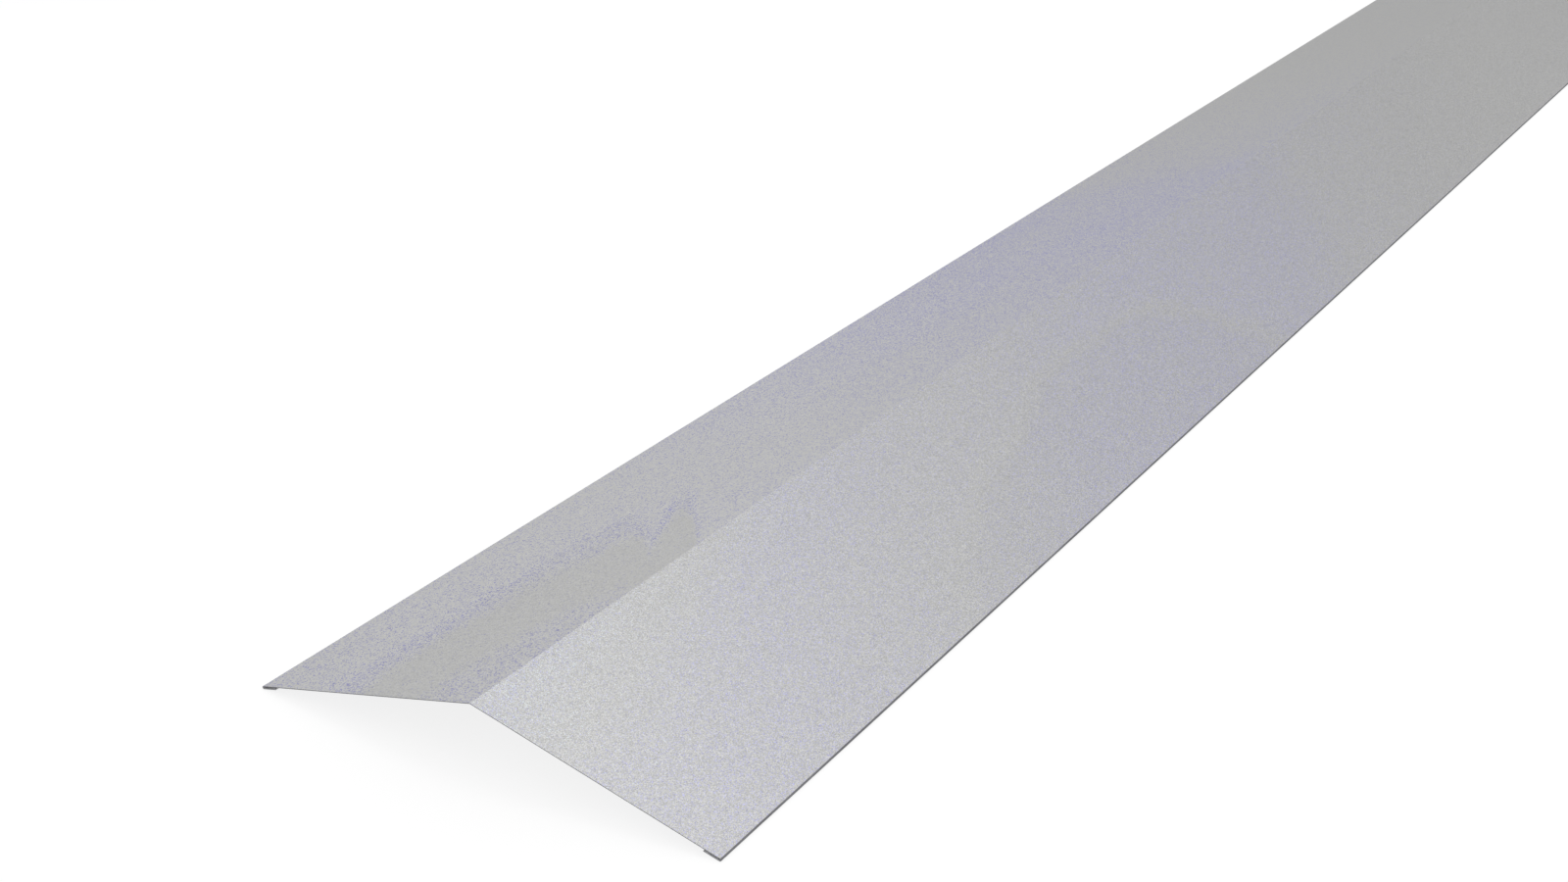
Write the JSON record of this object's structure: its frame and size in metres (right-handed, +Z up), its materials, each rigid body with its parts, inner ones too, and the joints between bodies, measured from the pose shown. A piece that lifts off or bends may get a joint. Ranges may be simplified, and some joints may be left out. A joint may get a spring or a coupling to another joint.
{
  "type": "roof ridge cap",
  "caption": "Strip of galvanised sheet steel folded to a shallow inverted V, with a hem turned under each long edge; covers the joint where two roof slopes meet.",
  "frame": {"origin": "middle of the cap's length, below the ridge, on the plane that the two hems stand on", "axes": "+Y along the ridge, +X across to the right wing, +Z up"},
  "size_m": [0.2908, 2, 0.0378],
  "materials": {
    "galvanised_steel": "hot-dip zinc coating with a fine spangle, satin grey"
  },
  "bodies": {
    "root": {"ridge_cap": "galvanised_steel"}
  },
  "joints": []
}
